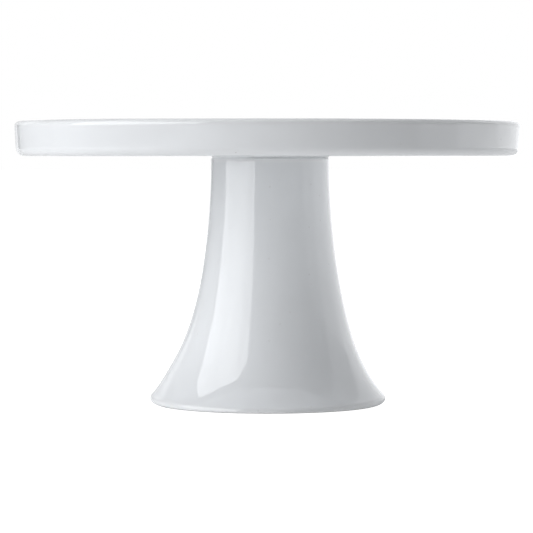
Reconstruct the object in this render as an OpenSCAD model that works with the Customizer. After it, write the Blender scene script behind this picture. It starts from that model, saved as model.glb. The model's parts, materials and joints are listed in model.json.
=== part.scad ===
// Footed cake stand in glazed white porcelain: a flat plate with an upright rim, carried on a
// hollow trumpet-shaped pedestal. The two are cast apart and joined with slip before the firing.
// +Z is up, and the origin is the centre of the ring that the pedestal stands on.

/* [Plate] */
// Diameter of the plate at the widest part of its rim
plate_d = 300; // [240:1:340]
// Height of the plate, from its flat underside to the top of its rim
plate_h = 20.5; // [17:0.5:28]
// Thickness of the plate's floor
floor_t = 7.5; // [6:0.5:9]
// Thickness of the rim's wall, measured across its rounded top
rim_t = 6.6; // [6:0.1:10]
// Outward lean of the rim's outer face, in degrees
rim_lean = 3.4; // [0:0.1:8]
// Outward lean of the rim's inner face, in degrees
rim_lean_inside = 6; // [0:0.5:12]
// Radius of the rim's top edges
rim_top_r = 3.0; // [1:0.1:3]
// Radius of the corner under the rim
rim_bottom_r = 5.0; // [2:0.5:8]
// Radius where the floor turns up into the rim
floor_fillet_r = 6.0; // [2:0.5:8]

/* [Pedestal] */
// Height of the plate's underside above the table
plate_z = 148; // [130:1:190]
// Diameter of the pedestal's neck
neck_d = 70; // [60:1:80]
// Diameter of the pedestal at its foot
foot_d = 140; // [130:1:170]
// Thickness of the pedestal's wall
wall_t = 5; // [4:0.5:6]
// Thickness of the closed top of the pedestal
web_t = 5.5; // [4:0.5:8]
// Diameter of the vent in the closed top
vent_d = 16; // [10:1:24]

/* [Slip joint] */
// Thickness of the slip between the pedestal and the plate
slip_t = 1.2; // [0.5:0.1:2]
// Reach of the slip's outer bead, along the plate and down the neck
bead_r = 1.8; // [1:0.1:3]
// Inner diameter of the slip layer
slip_bore_d = 26; // [24:1:40]

/* [Hidden] */
$fn = 120;
flare_steps = 44;
corner_steps = 9;

neck_r = neck_d / 2;
foot_r = foot_d / 2;
pedestal_top_z = plate_z - slip_t;

// The lip that the flare ends in: an arc above its widest line, and a flatter quarter ellipse below.
lip_z = 4;
lip_top_r = 4.5;
lip_slope = 44;
lip_under_w = 7;
lip_top_c = [foot_r - lip_top_r, lip_z];

// The flare is one cubic curve, vertical where it leaves the neck and on the lip's slope at its end.
neck_straight = 3;
flare_reach_top = 21;
flare_reach_bottom = 45;
flare_start = [neck_r, plate_z - neck_straight];
flare_end = lip_top_c + lip_top_r * [cos(lip_slope), sin(lip_slope)];
flare = [
    flare_start,
    flare_start - [0, flare_reach_top],
    flare_end + flare_reach_bottom * [-sin(lip_slope), cos(lip_slope)],
    flare_end
];

// The inside follows the flare at the wall's thickness, then drops to the ring it stands on.
inside_start_t = 0.02;
inside_end_t = 0.8;
drop_steps = 10;
ring_w = 2;
ring_edge_r = 1.5;
ring_edge_steps = 4;
ring_outer_r = foot_r - lip_under_w;
ring_inner_r = ring_outer_r - ring_w - ring_edge_r;
web_fillet_r = 7;

// Thickness that the slip's outer bead keeps where it thins out at its two edges.
bead_edge = 0.3;

// Points on an ellipse's arc, from one angle to another.
function ellipse_arc(centre, radii, from_deg, to_deg, steps = corner_steps) =
    [for (i = [0 : steps])
        let (a = from_deg + (to_deg - from_deg) * i / steps)
        centre + [radii[0] * cos(a), radii[1] * sin(a)]];

// Points on a circle's arc.
function arc(centre, radius, from_deg, to_deg, steps = corner_steps) =
    ellipse_arc(centre, [radius, radius], from_deg, to_deg, steps);

// A point on a cubic curve and the direction that it runs in there.
function cubic(p, t) =
    pow(1 - t, 3) * p[0] + 3 * pow(1 - t, 2) * t * p[1] + 3 * (1 - t) * t * t * p[2] + pow(t, 3) * p[3];

function cubic_direction(p, t) =
    let (d = pow(1 - t, 2) * (p[1] - p[0]) + 2 * (1 - t) * t * (p[2] - p[1]) + t * t * (p[3] - p[2]))
    d / norm(d);

function cubic_points(p, from_t, to_t, steps) =
    [for (i = [0 : steps]) cubic(p, from_t + (to_t - from_t) * i / steps)];

// A point inside the flare by the wall's thickness.
function inside_flare(t) =
    let (d = cubic_direction(flare, t))
    cubic(flare, t) + wall_t * [d[1], -d[0]];

function inside_flare_points(from_t, to_t, steps) =
    [for (i = [0 : steps]) inside_flare(from_t + (to_t - from_t) * i / steps)];

// Half of the plate's section, with its underside at z = 0.
function plate_section() =
    let (
        top_z = plate_h - rim_top_r,
        top_x = plate_d / 2 - rim_top_r,
        bottom_x = top_x + (rim_top_r - rim_bottom_r) / cos(rim_lean)
            + (rim_bottom_r - top_z) * tan(rim_lean),
        inner_top_x = plate_d / 2 - rim_t + rim_top_r,
        fillet_z = floor_t + floor_fillet_r,
        fillet_x = inner_top_x - (rim_top_r + floor_fillet_r) / cos(rim_lean_inside)
            + (fillet_z - top_z) * tan(rim_lean_inside)
    )
    concat(
        [[0, floor_t], [0, 0]],
        arc([bottom_x, rim_bottom_r], rim_bottom_r, -90, -rim_lean),
        arc([top_x, top_z], rim_top_r, -rim_lean, 90),
        arc([inner_top_x, top_z], rim_top_r, 90, 180 - rim_lean_inside),
        arc([fillet_x, fillet_z], floor_fillet_r, -rim_lean_inside, -90)
    );

// Half of the pedestal's section, from the vent over the outside to the ring and back up inside.
function pedestal_section() =
    let (
        inside_end = inside_flare(inside_end_t),
        inside_run = cubic_direction(flare, inside_end_t),
        drop = inside_end[1] - ring_edge_r,
        to_ring = [
            inside_end,
            inside_end + drop / 3 * inside_run,
            [ring_inner_r, ring_edge_r + drop / 2],
            [ring_inner_r, ring_edge_r]
        ],
        web_z = pedestal_top_z - web_t
    )
    concat(
        [[vent_d / 2, web_z], [vent_d / 2, pedestal_top_z], [neck_r, pedestal_top_z]],
        cubic_points(flare, 0, 1, flare_steps),
        arc(lip_top_c, lip_top_r, lip_slope * (1 - 1 / corner_steps), 0, corner_steps - 1),
        ellipse_arc([ring_outer_r, lip_z], [lip_under_w, lip_z], -90 / corner_steps, -90, corner_steps - 1),
        arc([ring_inner_r + ring_edge_r, ring_edge_r], ring_edge_r, -90, -180, ring_edge_steps),
        cubic_points(to_ring, 1 - 1 / drop_steps, 1 / drop_steps, drop_steps - 2),
        inside_flare_points(inside_end_t, inside_start_t, flare_steps),
        arc([neck_r - wall_t - web_fillet_r, web_z - web_fillet_r], web_fillet_r, 0, 90)
    );

// Half of the slip's section: a flat layer, and a hollow-faced bead in the corner outside the neck.
function slip_section() =
    concat(
        [[slip_bore_d / 2, pedestal_top_z], [neck_r, pedestal_top_z]],
        [[neck_r, plate_z - bead_r]],
        arc([neck_r + bead_r, plate_z - bead_r], bead_r - bead_edge, 180, 90),
        [[neck_r + bead_r, plate_z], [slip_bore_d / 2, plate_z]]
    );

module plate() {
    color("white")
    translate([0, 0, plate_z])
    rotate_extrude()
    polygon(plate_section());
}

module pedestal() {
    color("whitesmoke")
    rotate_extrude()
    polygon(pedestal_section());
}

module slip_joint() {
    color("gainsboro")
    rotate_extrude()
    polygon(slip_section());
}

plate();
pedestal();
slip_joint();
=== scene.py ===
import json
import math

import bpy
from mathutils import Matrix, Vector, noise


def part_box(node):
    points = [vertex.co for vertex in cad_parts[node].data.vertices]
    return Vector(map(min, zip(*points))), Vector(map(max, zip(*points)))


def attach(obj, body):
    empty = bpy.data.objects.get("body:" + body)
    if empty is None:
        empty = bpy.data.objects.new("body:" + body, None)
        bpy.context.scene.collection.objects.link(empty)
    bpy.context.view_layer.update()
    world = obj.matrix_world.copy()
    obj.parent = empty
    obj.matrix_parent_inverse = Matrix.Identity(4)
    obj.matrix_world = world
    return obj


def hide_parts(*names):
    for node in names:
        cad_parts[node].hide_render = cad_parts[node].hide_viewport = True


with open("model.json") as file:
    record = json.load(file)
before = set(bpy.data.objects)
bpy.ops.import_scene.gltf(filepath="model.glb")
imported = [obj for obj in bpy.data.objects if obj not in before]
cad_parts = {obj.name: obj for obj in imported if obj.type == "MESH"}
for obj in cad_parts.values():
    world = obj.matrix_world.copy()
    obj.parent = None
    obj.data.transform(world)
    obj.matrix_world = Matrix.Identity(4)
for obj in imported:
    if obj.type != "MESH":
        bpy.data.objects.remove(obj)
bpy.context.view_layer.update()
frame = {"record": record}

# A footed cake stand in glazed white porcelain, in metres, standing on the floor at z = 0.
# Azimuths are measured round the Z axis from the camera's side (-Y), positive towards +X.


# ---------------------------------------------------------------- sizes, from the frame

def mount_position(name):
    """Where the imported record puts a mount."""
    return next(m["pos_m"] for m in frame["record"]["mounts"] if m["name"] == name)


plate_low, plate_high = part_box("plate")
pedestal_low, pedestal_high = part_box("pedestal")
slip_low, slip_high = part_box("slip_joint")

PLATE_R = plate_high.x
PLATE_Z = plate_low.z
RIM_TOP_Z = plate_high.z
FLOOR_Z = mount_position("cake_rest")[2]
FOOT_R = pedestal_high.x
PEDESTAL_TOP_Z = pedestal_high.z
BEAD_REACH = slip_high.z - slip_low.z
NECK_R = slip_high.x - BEAD_REACH
RING_R = mount_position("base_ring")[0]

# These repeat the design's own values.
RIM_T = 0.0066
RIM_LEAN = math.radians(3.4)
RIM_LEAN_INSIDE = math.radians(6)
RIM_TOP_R = 0.003
RIM_BOTTOM_R = 0.005
FLOOR_FILLET_R = 0.006
WALL_T = 0.005
WEB_T = 0.0055
WEB_FILLET_R = 0.007
VENT_R = 0.008
LIP_Z = 0.004
LIP_SLOPE = math.radians(44)
NECK_STRAIGHT = 0.003
FLARE_REACH_TOP = 0.021
FLARE_REACH_BOTTOM = 0.045
INSIDE_END_T = 0.8
RING_W = 0.002
RING_EDGE_R = 0.0015
SLIP_BORE_R = 0.013

# The lip's top is rounder in the design, by a millimetre.
LIP_TOP_R = 0.0035

# Small roundings on edges that the design leaves sharp.
EDGE_R = 0.0008

# The kiln's small marks on the pedestal. Its neck leans towards +X, more and more between two heights.
LEAN = 0.0014
LEAN_FROM_Z = 0.012
LEAN_FULL_Z = 0.075

# Its foot swells above the lip on the left.
SWELL = 0.001
SWELL_Z = 0.02
SWELL_SPREAD = 0.013
SWELL_AZIMUTH = -75
SWELL_SPREAD_DEGREES = 45

# Its lip hangs round the front, by this share of the lip's height, and the hang is gone higher up.
HANG = 0.7
HANG_GONE_Z = 0.06
HANG_AZIMUTH = 0
HANG_SPREAD_DEGREES = 62

# The waviness and the swelling fade out below this height, so that the ring stays flat.
FLAT_BELOW_Z = 0.006

# How fine the meshes are: round the axis, along the flare, and the longest steps along straight runs.
SEGMENTS = 320
FLARE_STEPS = 120
LONG_STEP = 0.0025
SHORT_STEP = 0.001
RING_STEP = 0.0005

QUARTER = math.pi / 2
MILLIMETRE = 0.001


# ---------------------------------------------------------------- sections, as (radius, height) points

def ellipse_arc(centre, radii, start, end, steps=12):
    """Points on an ellipse about centre, from one angle to another."""
    centre = Vector(centre)
    angles = [start + (end - start) * i / steps for i in range(steps + 1)]
    return [centre + Vector((radii[0] * math.cos(a), radii[1] * math.sin(a))) for a in angles]


def arc(centre, radius, start, end, steps=12):
    """Points on a circle about centre, from one angle to another."""
    return ellipse_arc(centre, (radius, radius), start, end, steps)


def line(start, end, step):
    """Points between two ends, without the ends, about one step apart."""
    start, end = Vector(start), Vector(end)
    count = max(1, round((end - start).length / step))
    return [start.lerp(end, i / count) for i in range(1, count)]


def cubic(p, t):
    """The point at t, from 0 to 1, of the cubic curve with the four control points p."""
    return (1 - t) ** 3 * p[0] + 3 * (1 - t) ** 2 * t * p[1] + 3 * (1 - t) * t * t * p[2] + t ** 3 * p[3]


def cubic_direction(p, t):
    """The way the cubic curve runs at t."""
    d = (1 - t) ** 2 * (p[1] - p[0]) + 2 * (1 - t) * t * (p[2] - p[1]) + t * t * (p[3] - p[2])
    return d.normalized()


def plate_section():
    """Half of the plate's section, from the middle of its underside to the middle of its floor."""
    top_z = RIM_TOP_Z - RIM_TOP_R
    top_r = PLATE_R - RIM_TOP_R
    bottom_z = PLATE_Z + RIM_BOTTOM_R
    bottom_r = (top_r + (RIM_TOP_R - RIM_BOTTOM_R) / math.cos(RIM_LEAN)
                + (bottom_z - top_z) * math.tan(RIM_LEAN))
    inner_top_r = PLATE_R - RIM_T + RIM_TOP_R
    fillet_z = FLOOR_Z + FLOOR_FILLET_R
    fillet_r = (inner_top_r - (RIM_TOP_R + FLOOR_FILLET_R) / math.cos(RIM_LEAN_INSIDE)
                + (fillet_z - top_z) * math.tan(RIM_LEAN_INSIDE))
    under_corner = arc((bottom_r, bottom_z), RIM_BOTTOM_R, -QUARTER, -RIM_LEAN)
    top_outer = arc((top_r, top_z), RIM_TOP_R, -RIM_LEAN, QUARTER)
    top_inner = arc((inner_top_r, top_z), RIM_TOP_R, QUARTER, math.pi - RIM_LEAN_INSIDE)
    floor_fillet = arc((fillet_r, fillet_z), FLOOR_FILLET_R, -RIM_LEAN_INSIDE, -QUARTER)
    centre_under = Vector((0, PLATE_Z))
    centre_floor = Vector((0, FLOOR_Z))
    return ([centre_under] + line(centre_under, under_corner[0], LONG_STEP)
            + under_corner + line(under_corner[-1], top_outer[0], SHORT_STEP)
            + top_outer + top_inner[1:] + line(top_inner[-1], floor_fillet[0], SHORT_STEP)
            + floor_fillet + line(floor_fillet[-1], centre_floor, LONG_STEP) + [centre_floor])


def flare_curve():
    """The cubic that the pedestal's outside follows, from the neck down to the lip."""
    lip_centre = Vector((FOOT_R - LIP_TOP_R, LIP_Z))
    start = Vector((NECK_R, PLATE_Z - NECK_STRAIGHT))
    end = lip_centre + LIP_TOP_R * Vector((math.cos(LIP_SLOPE), math.sin(LIP_SLOPE)))
    return [
        start,
        start - Vector((0, FLARE_REACH_TOP)),
        end + FLARE_REACH_BOTTOM * Vector((-math.sin(LIP_SLOPE), math.cos(LIP_SLOPE))),
        end,
    ]


def pedestal_section():
    """The pedestal's closed section, from its ring up the outside and back down the inside."""
    flare = flare_curve()

    def inside(t):
        """A point on the inside of the wall, opposite the flare's own point at t."""
        d = cubic_direction(flare, t)
        return cubic(flare, t) + WALL_T * Vector((d.y, -d.x))

    ring_inner_r = RING_R - RING_W / 2
    ring_outer_r = RING_R + RING_W / 2
    ring = arc((ring_inner_r, RING_EDGE_R), RING_EDGE_R, -math.pi, -QUARTER, 8)
    ring += line(ring[-1], (ring_outer_r, 0), RING_STEP)
    lip = ellipse_arc((ring_outer_r, LIP_Z), (FOOT_R - ring_outer_r, LIP_Z), -QUARTER, 0, 24)
    lip += arc((FOOT_R - LIP_TOP_R, LIP_Z), LIP_TOP_R, 0, LIP_SLOPE)[1:]
    outside = [cubic(flare, 1 - i / FLARE_STEPS) for i in range(1, FLARE_STEPS + 1)]
    top_edge = arc((NECK_R - EDGE_R, PEDESTAL_TOP_Z - EDGE_R), EDGE_R, 0, QUARTER, 5)
    vent_top = arc((VENT_R + EDGE_R, PEDESTAL_TOP_Z - EDGE_R), EDGE_R, QUARTER, math.pi, 5)
    web_z = PEDESTAL_TOP_Z - WEB_T
    vent_under = arc((VENT_R + EDGE_R, web_z + EDGE_R), EDGE_R, -math.pi, -QUARTER, 5)
    web_fillet_r = NECK_R - WALL_T - WEB_FILLET_R
    web_fillet = arc((web_fillet_r, web_z - WEB_FILLET_R), WEB_FILLET_R, QUARTER, 0)
    wall_steps = FLARE_STEPS // 2
    wall = [inside(INSIDE_END_T * i / wall_steps) for i in range(2, wall_steps + 1)]
    drop = wall[-1].y - RING_EDGE_R
    to_ring = [
        wall[-1],
        wall[-1] + drop / 3 * cubic_direction(flare, INSIDE_END_T),
        Vector((ring[0].x, RING_EDGE_R + drop / 2)),
        ring[0],
    ]
    last_steps = 20
    last = [cubic(to_ring, i / last_steps) for i in range(1, last_steps)]
    return (ring + lip + outside + top_edge + line(top_edge[-1], vent_top[0], LONG_STEP)
            + vent_top + line(vent_top[-1], vent_under[0], SHORT_STEP)
            + vent_under + line(vent_under[-1], web_fillet[0], LONG_STEP)
            + web_fillet + wall + last)


# ---------------------------------------------------------------- turned meshes

# How far the bend is averaged along the surface: the melted glaze evening out, which also spreads the
# painted shade in the hollows.
POOL_AND_SHADE_REACH = 0.003

# The waviness in three sizes: its waves to a metre, where in the noise it lies, and its height.
WAVES = [
    (14, (0, 0, 0), 0.00016),
    (45, (7, 3, 1), 0.00003),
    (120, (2, 9, 5), 0.000006),
]


def bends(section, closed):
    """How sharply the section bends at each point, per metre. Edges are positive, corners negative."""
    count = len(section)
    found = []
    for i in range(count):
        if not closed and i in (0, count - 1):
            found.append(0.0)
            continue
        before = section[i] - section[i - 1]
        after = section[(i + 1) % count] - section[i]
        turn = math.atan2(before.cross(after), before.dot(after))
        found.append(turn / max(1e-6, (before.length + after.length) / 2))
    return found


def smoothed(values, section, closed, reach):
    """Each value averaged with its neighbours along the section, up to reach metres away."""
    count = len(section)
    result = []
    for i in range(count):
        total, weight = 0.0, 0.0
        for way in (-1, 1):
            j, gone = i, 0.0
            while True:
                near = (1 - gone / reach) * (0.5 if j == i else 1)
                total += near * values[j]
                weight += near
                k = j + way
                if closed:
                    k %= count
                elif not 0 <= k < count:
                    break
                gone += (section[k] - section[j]).length
                if gone >= reach:
                    break
                j = k
        result.append(total / weight)
    return result


def bump_at(azimuth, centre, spread, power=2):
    """1 at an azimuth in degrees, falling to 0 on both sides of it."""
    gone = (azimuth - centre + 180) % 360 - 180
    return math.exp(-abs(gone / spread) ** power)


def eased(value, low, high):
    """0 below low and 1 above high, with a smooth run between."""
    t = min(1.0, max(0.0, (value - low) / (high - low)))
    return t * t * (3 - 2 * t)


def waviness(point, normal):
    """How far a fired and glazed surface stands off its true shape at a point, as a vector."""
    return normal * sum(noise.noise(point * waves + Vector(place)) * height
                        for waves, place, height in WAVES)


def pedestal_shape(point, normal):
    """The pedestal's waviness, and what the kiln did to it: its neck leans over by a millimetre and
    a half, its foot swells a little on one side, and its lip hangs lower round the front. The ring
    stays flat on the floor."""
    lean = Vector((LEAN * eased(point.z, LEAN_FROM_Z, LEAN_FULL_Z), 0, 0))
    azimuth = math.degrees(math.atan2(point.x, -point.y))
    height = (point.z - SWELL_Z) / SWELL_SPREAD
    beside = bump_at(azimuth, SWELL_AZIMUTH, SWELL_SPREAD_DEGREES)
    swell = normal * SWELL * beside * math.exp(-height * height)
    hang = HANG * min(point.z, LIP_Z) * (1 - eased(point.z, LIP_Z, HANG_GONE_Z))
    in_front = bump_at(azimuth, HANG_AZIMUTH, HANG_SPREAD_DEGREES, power=4)
    down = Vector((0, 0, hang * in_front))
    return (waviness(point, normal) + swell) * eased(point.z, 0, FLAT_BELOW_Z) + lean - down


def turned(name, section, closed, off):
    """A mesh object turned round Z. section may be a function of the angle, and off(point, normal)
    says how far a point moves."""
    angles = [2 * math.pi * j / SEGMENTS for j in range(SEGMENTS)]
    sections = [section(a) for a in angles] if callable(section) else [section] * SEGMENTS
    count = len(sections[0])
    vertices, faces, rows = [], [], []
    for i in range(count):
        if not closed and i in (0, count - 1):
            rows.append([len(vertices)] * SEGMENTS)
            vertices.append(Vector((0, 0, sections[0][i].y)))
            continue
        rows.append(range(len(vertices), len(vertices) + SEGMENTS))
        for angle, points in zip(angles, sections):
            run = (points[(i + 1) % count] - points[i - 1]).normalized()
            c, s = math.cos(angle), math.sin(angle)
            at = Vector((points[i].x * c, points[i].x * s, points[i].y))
            normal = Vector((run.y * c, run.y * s, -run.x))
            vertices.append(at + off(at, normal))
    for i in range(count if closed else count - 1):
        a, b = rows[i], rows[(i + 1) % count]
        for j in range(SEGMENTS):
            k = (j + 1) % SEGMENTS
            corners = [a[j], a[k], b[k], b[j]]
            faces.append(list(dict.fromkeys(corners)))
    mesh = bpy.data.meshes.new(name)
    mesh.from_pydata(vertices, [], faces)
    mesh.update()
    mesh.shade_smooth()
    pool_and_shade = smoothed(bends(sections[0], closed), sections[0], closed, POOL_AND_SHADE_REACH)
    attribute = mesh.attributes.new("bend", "FLOAT", "POINT")
    for i, row in enumerate(rows):
        for v in set(row):
            attribute.data[v].value = pool_and_shade[i] * MILLIMETRE
    piece = bpy.data.objects.new(name, mesh)
    bpy.context.scene.collection.objects.link(piece)
    return piece


# ---------------------------------------------------------------- materials

class Nodes:
    """Short ways to add and join the nodes of a material or a world."""

    def __init__(self, owner):
        owner.use_nodes = True
        self.tree = owner.node_tree

    def add(self, kind, settings=None, **inputs):
        """A node with its settings, and its inputs by name. An input is a number, a colour or
        another node's output."""
        node = self.tree.nodes.new(kind)
        for key, value in (settings or {}).items():
            setattr(node, key, value)
        for key, value in inputs.items():
            self.feed(node, key.replace("_", " "), value)
        return node

    def feed(self, node, key, value):
        """Sets an input, or links another node's output to it. The key is its name or its number."""
        socket = node.inputs[int(key)] if key.isdigit() else node.inputs[key]
        if isinstance(value, bpy.types.NodeSocket):
            self.tree.links.new(value, socket)
        else:
            socket.default_value = value

    def math(self, operation, first, second):
        """The output of a Math node."""
        node = self.add("ShaderNodeMath", {"operation": operation})
        self.feed(node, "0", first)
        self.feed(node, "1", second)
        return node.outputs[0]

    def spread(self, value, low, high, to_low=0.0, to_high=1.0):
        """A value carried smoothly from one range to another."""
        node = self.add("ShaderNodeMapRange", {"interpolation_type": "SMOOTHSTEP"},
                        Value=value, From_Min=low, From_Max=high, To_Min=to_low, To_Max=to_high)
        return node.outputs[0]

    def clouds(self, place, scale, detail=2.0):
        """Soft noise between 0 and 1, with this many waves to a metre."""
        return self.add("ShaderNodeTexNoise", Vector=place, Scale=scale, Detail=detail).outputs["Fac"]

    def blend(self, amount, first, second):
        """A colour between two others."""
        node = self.add("ShaderNodeMix", {"data_type": "RGBA"})
        for key, value in (("0", amount), ("6", first), ("7", second)):
            self.feed(node, key, value)
        return node.outputs[2]

    def spots(self, place, cell, radius, share):
        """Round spots with soft edges, at most one to a cell, in this share of the cells."""
        cells = self.add("ShaderNodeTexVoronoi", Vector=place, Scale=1 / cell)
        draw = self.add("ShaderNodeSeparateColor", Color=cells.outputs["Color"]).outputs[0]
        chosen = self.math("LESS_THAN", draw, share)
        near = self.spread(cells.outputs["Distance"], radius / cell, 0.5 * radius / cell)
        return self.math("MULTIPLY", chosen, near)


# Where the glaze was wiped off the ring that the pedestal stands on, and how far that edge wanders.
BARE_Z = 0.0004
BARE_WANDER = 0.0005

BISCUIT = (0.74, 0.72, 0.68, 1)
GRUBBY_BISCUIT = (0.60, 0.57, 0.52, 1)
IRON = (0.30, 0.25, 0.20, 1)

# How much darker the body's clouds are.
CLOUD_SHADE = 0.975

# The size of the cells that hold at most one spot each, the spots' radius, and the share of cells with one.
SPECKS = (0.019, 0.00035, 0.3)
PITS = (0.006, 0.0007, 0.25)


def glaze(name, colour, pooled_and_shade_colour, thin):
    """Clear glossy glaze over white porcelain: darker and bluer in hollows, partly pooled glaze and partly
    painted shade, and lighter where it is thin over the edges.
    """
    material = bpy.data.materials.new(name)
    n = Nodes(material)
    shader = n.tree.nodes["Principled BSDF"]
    shader.inputs["IOR"].default_value = 1.6
    place = n.add("ShaderNodeTexCoord").outputs["Object"]

    # Colour: slow clouds in the body, the glaze's depth over them with painted shade in the hollows, a few
    # specks of iron, and painted shade in the pits.
    bend = n.add("ShaderNodeAttribute", {"attribute_name": "bend"}).outputs["Fac"]
    unevenness = n.math("MULTIPLY", n.math("SUBTRACT", n.clouds(place, 60.0), 0.5), 0.12)
    glaze_depth_and_shade = n.math("ADD", bend, unevenness)
    shaded = [CLOUD_SHADE * c for c in colour]
    clouded = n.blend(n.spread(n.clouds(place, 16.0, 3.0), 0.35, 0.65), (*colour, 1), (*shaded, 1))
    # Painted shade: darker and bluer where the section bends inwards, partly pooled glaze and partly shade
    # painted into the hollows.
    pooled_and_shaded = n.blend(n.spread(glaze_depth_and_shade, -0.05, -0.3), clouded, (*pooled_and_shade_colour, 1))
    even = n.blend(n.spread(glaze_depth_and_shade, 0.08, 0.35), pooled_and_shaded, (*thin, 1))
    specks = n.spots(place, *SPECKS)
    pits = n.spots(place, *PITS)
    # Painted shade in the pits: they are darkened a little towards iron. The specks are real iron.
    iron_and_pit_shade = n.math("MAXIMUM", n.math("MULTIPLY", specks, 0.55), n.math("MULTIPLY", pits, 0.12))
    speckled_and_pit_shaded = n.blend(iron_and_pit_shade, even, IRON)

    # The bare ring: dull chalky porcelain with a wandering edge, on the lowest part of the foot only.
    height = n.add("ShaderNodeSeparateXYZ", Vector=place).outputs["Z"]
    wander = n.math("MULTIPLY", n.math("SUBTRACT", n.clouds(place, 110.0), 0.5), BARE_WANDER)
    bare = n.math("LESS_THAN", n.math("ADD", height, wander), BARE_Z)
    grubby = n.blend(n.spread(n.clouds(place, 300.0, 4.0), 0.45, 0.7), BISCUIT, GRUBBY_BISCUIT)
    n.tree.links.new(n.blend(bare, speckled_and_pit_shaded, grubby), shader.inputs["Base Color"])

    # Gloss: almost a mirror, a little duller in patches and in the pits, and matt on the bare ring.
    patches = n.spread(n.clouds(place, 35.0, 4.0), 0.35, 0.75, 0.015, 0.045)
    gloss = n.math("ADD", patches, n.math("MULTIPLY", pits, 0.25))
    roughness = n.math("MAXIMUM", gloss, n.math("MULTIPLY", bare, 0.65))
    n.tree.links.new(roughness, shader.inputs["Roughness"])

    # Relief in millimetres: long ripples of the melt, a fine orange peel, pits, and the ring's grain.
    ripples = n.math("MULTIPLY", n.clouds(place, 75.0), 0.005)
    peel = n.math("MULTIPLY", n.clouds(place, 420.0, 1.0), 0.002)
    grain = n.math("MULTIPLY", n.math("MULTIPLY", n.clouds(place, 2500.0, 2.0), bare), 0.05)
    dents = n.math("SUBTRACT", grain, n.math("MULTIPLY", pits, 0.06))
    relief = n.math("ADD", n.math("ADD", ripples, peel), dents)
    bump = n.add("ShaderNodeBump", Strength=1.0, Distance=MILLIMETRE, Height=relief)
    n.tree.links.new(bump.outputs["Normal"], shader.inputs["Normal"])
    return material


# ---------------------------------------------------------------- the pieces

def add_piece(piece, material, node):
    """Gives a piece its material, and stands it in for a node of the design."""
    piece.data.materials.append(material)
    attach(piece, "root")
    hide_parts(node)


def make_plate(material):
    """The plate with its upright rim."""
    piece = turned("plate_body", plate_section(), closed=False, off=waviness)
    add_piece(piece, material, "plate")


def make_pedestal(material):
    """The hollow pedestal, open at its foot."""
    piece = turned("pedestal_body", pedestal_section(), closed=True, off=pedestal_shape)
    add_piece(piece, material, "pedestal")


# Where the slip's bead is full, and where it has a drip and a nick: azimuths and spreads in degrees.
BEAD_FULL = (-50, 27)
BEAD_DRIP = (97, 5)
BEAD_NICK = (84, 5)

# How far the bead reaches out and down at least, and how much each of these adds to it.
BEAD_LEAST = 0.0002
BEAD_OUT = {"even": 0.0004, "full": 0.0009, "uneven": 0.0001, "drip": 0.0006, "nick": -0.0003}
BEAD_DOWN = {"even": 0.0003, "full": 0.0022, "uneven": 0.0001, "drip": 0.0012, "nick": -0.0003}

# How far the slip goes into the pieces that it joins, so that no gap shows.
SLIP_SUNK = 0.0003


def bead_reach(angle):
    """How far the slip's bead reaches out along the plate and down the neck, at a mesh angle."""
    azimuth = math.degrees(angle) + 90
    round_place = Vector((math.cos(angle), math.sin(angle), 0))
    finer = 0.5 * noise.noise(round_place * 9 + Vector((5, 1, 0)))
    shares = {
        "even": 1,
        "full": bump_at(azimuth, *BEAD_FULL, power=4),
        "uneven": noise.noise(round_place * 3.1) + finer,
        "drip": bump_at(azimuth, *BEAD_DRIP),
        "nick": bump_at(azimuth, *BEAD_NICK),
    }
    out = sum(shares[key] * reach for key, reach in BEAD_OUT.items())
    down = sum(shares[key] * reach for key, reach in BEAD_DOWN.items())
    return max(out, BEAD_LEAST), max(down, BEAD_LEAST)


def slip_section(angle):
    """The slip's closed section: a thin layer, and a hollow-faced bead outside the neck."""
    out, down = bead_reach(angle)
    into_neck = 0.0001
    bead = ellipse_arc((NECK_R + out, PLATE_Z - down), (out + into_neck, down), math.pi, QUARTER, 16)
    low_z = PEDESTAL_TOP_Z - SLIP_SUNK
    high_z = PLATE_Z + SLIP_SUNK
    inner_r = NECK_R - SLIP_SUNK
    before = [Vector((SLIP_BORE_R, low_z)), Vector((inner_r, low_z)), Vector((inner_r, bead[0].y))]
    after = [Vector((bead[-1].x, high_z)), Vector((SLIP_BORE_R, high_z))]
    return before + bead + after


def make_slip(material):
    """The slip between the two, with the bead that shows outside the neck."""
    piece = turned("slip_bead", slip_section, closed=True, off=pedestal_shape)
    add_piece(piece, material, "slip_joint")


# ---------------------------------------------------------------- studio

# What the white floor sends out by itself towards everything but the camera, the light that comes evenly
# from the whole room, and the light's cool cast.
FLOOR_GLOW = 0.12
ROOM_GLOW = 0.07
LIGHT_COLOUR = (0.99, 1.0, 1.015)

# Half of the floor's width.
FLOOR_HALF = 30.0


def make_floor():
    """A plain white floor that goes on past the edge of every view."""
    mesh = bpy.data.meshes.new("studio_floor")
    corners = [(x * FLOOR_HALF, y * FLOOR_HALF, 0) for x, y in ((-1, -1), (1, -1), (1, 1), (-1, 1))]
    mesh.from_pydata(corners, [], [(0, 1, 2, 3)])
    floor = bpy.data.objects.new("studio_floor", mesh)
    bpy.context.scene.collection.objects.link(floor)
    material = bpy.data.materials.new("white_sweep")
    n = Nodes(material)
    n.tree.nodes.remove(n.tree.nodes["Principled BSDF"])
    seen = n.add("ShaderNodeLightPath").outputs["Is Camera Ray"]
    level = n.add("ShaderNodeMapRange", Value=seen, To_Min=FLOOR_GLOW).outputs[0]
    tint = n.blend(seen, (*LIGHT_COLOUR, 1), (1, 1, 1, 1))
    glow = n.add("ShaderNodeEmission", Color=tint, Strength=level).outputs[0]
    diffuse = n.add("ShaderNodeBsdfDiffuse", Color=(0.9, 0.9, 0.9, 1)).outputs[0]
    both = n.add("ShaderNodeAddShader", **{"0": diffuse, "1": glow}).outputs[0]
    n.feed(n.tree.nodes["Material Output"], "Surface", both)
    floor.data.materials.append(material)


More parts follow.
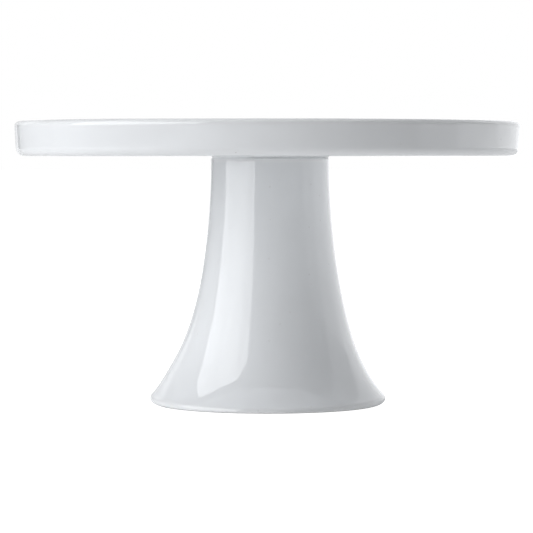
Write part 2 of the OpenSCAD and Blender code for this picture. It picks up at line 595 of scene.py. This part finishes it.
def make_world():
    """An even dim room for the light, and plain white behind everything the camera sees."""
    world = bpy.data.worlds.new("studio")
    bpy.context.scene.world = world
    n = Nodes(world)
    room = n.tree.nodes["Background"]
    room.inputs["Color"].default_value = (*LIGHT_COLOUR, 1)
    room.inputs["Strength"].default_value = ROOM_GLOW
    white = n.add("ShaderNodeBackground", Color=(1, 1, 1, 1)).outputs[0]
    seen = n.add("ShaderNodeLightPath").outputs["Is Camera Ray"]
    mix = n.add("ShaderNodeMixShader", **{"0": seen, "1": room.outputs[0], "2": white}).outputs[0]
    n.feed(n.tree.nodes["World Output"], "Surface", mix)


def make_panel(name, centre, facing, size, radiance):
    """A soft light panel of a given radiance. The camera doesn't see it, only what it lights."""
    data = bpy.data.lights.new(name, "AREA")
    data.shape = "RECTANGLE"
    data.size, data.size_y = size
    data.energy = radiance * size[0] * size[1] * math.pi
    data.color = LIGHT_COLOUR
    panel = bpy.data.objects.new(name, data)
    bpy.context.scene.collection.objects.link(panel)
    panel.location = centre
    panel.rotation_mode = "QUATERNION"
    panel.rotation_quaternion = Vector(facing).to_track_quat("-Z", "Y")
    panel.visible_camera = False


def make_upright_panel(name, start, end, heights, radiance):
    """A panel that stands between two places in plan, and faces the side where the stand is."""
    start, end = Vector(start), Vector(end)
    centre = (start + end) / 2
    facing = (end - start).orthogonal()
    if facing.dot(centre) > 0:
        facing = -facing
    low, high = heights
    size = ((end - start).length, high - low)
    make_panel(name, (*centre, (low + high) / 2), (*facing, 0), size, radiance)


# The three key panels stand round the left, each a little behind the next one's edge, so that the stand
# sees no gap between them.
UPRIGHT_PANELS = [
    # name, its two ends in plan, the heights of its edges, radiance
    ("key_near", (-1.08, -1.92), (-1.16, -1.16), (0.14, 1.88), 2.3),
    ("key_middle", (-1.15, -1.16), (-1.51, -0.61), (0.14, 1.82), 2.8),
    ("key_far", (-1.43, -0.58), (-1.54, 0.13), (0.14, 1.7), 2.5),
    ("left_back", (-1.5, 0.14), (-1.5, 2.6), (0, 1.9), 0.25),
    ("right_low", (1.5, -0.6), (1.5, 1.0), (0, 0.5), 0.35),
    ("right_near", (1.52, -0.6), (1.52, 0), (0, 1.9), 0.12),
    ("right_middle", (1.52, 0), (1.52, 1.0), (0, 1.9), 0.6),
    ("right_far", (1.52, 1.0), (1.52, 2.6), (0, 1.9), 1.15),
    ("backdrop_right", (0, 2.2), (1.3, 2.2), (0, 1.4), 1.25),
    ("backdrop_middle", (-1.0, 2.2), (0, 2.2), (0, 1.4), 0.65),
    ("backdrop_left", (-2.0, 2.2), (-1.0, 2.2), (0.4, 1.4), 0.55),
]

HIGH_PANELS = [
    # name, centre, the way it faces, (width, depth), radiance
    ("arch", (0.25, 1.75, 2.0), (0, -0.5, -1), (2.7, 1.2), 0.55),
    ("overhead", (0, 0, 2.2), (0, 0, -1), (2.4, 2.4), 0.8),
]

# The lens is in millimetres, and the camera stands a little to the left of the stand's axis.
CAMERA_LENS = 204.5
CAMERA_TILT = math.radians(2.09)
CAMERA_DISTANCE = 1.8
CAMERA_X = -0.0008


def make_camera():
    """Level with the plate's underside and tilted a little down, as the stand was photographed."""
    data = bpy.data.cameras.new("camera")
    data.lens = CAMERA_LENS
    camera = bpy.data.objects.new("camera", data)
    bpy.context.scene.collection.objects.link(camera)
    camera.location = (CAMERA_X, -CAMERA_DISTANCE, PLATE_Z)
    camera.rotation_euler = (QUARTER - CAMERA_TILT, 0, 0)
    bpy.context.scene.camera = camera


porcelain = glaze("porcelain_glaze", (0.855, 0.87, 0.885), (0.80, 0.83, 0.86), (0.87, 0.88, 0.89))
slip = glaze("slip_glaze", (0.845, 0.86, 0.87), (0.80, 0.82, 0.835), (0.86, 0.87, 0.88))
make_plate(porcelain)
make_pedestal(porcelain)
make_slip(slip)
make_floor()
make_world()
for panel in UPRIGHT_PANELS:
    make_upright_panel(*panel)
for panel in HIGH_PANELS:
    make_panel(*panel)
make_camera()
bpy.context.scene.view_settings.view_transform = "Standard"
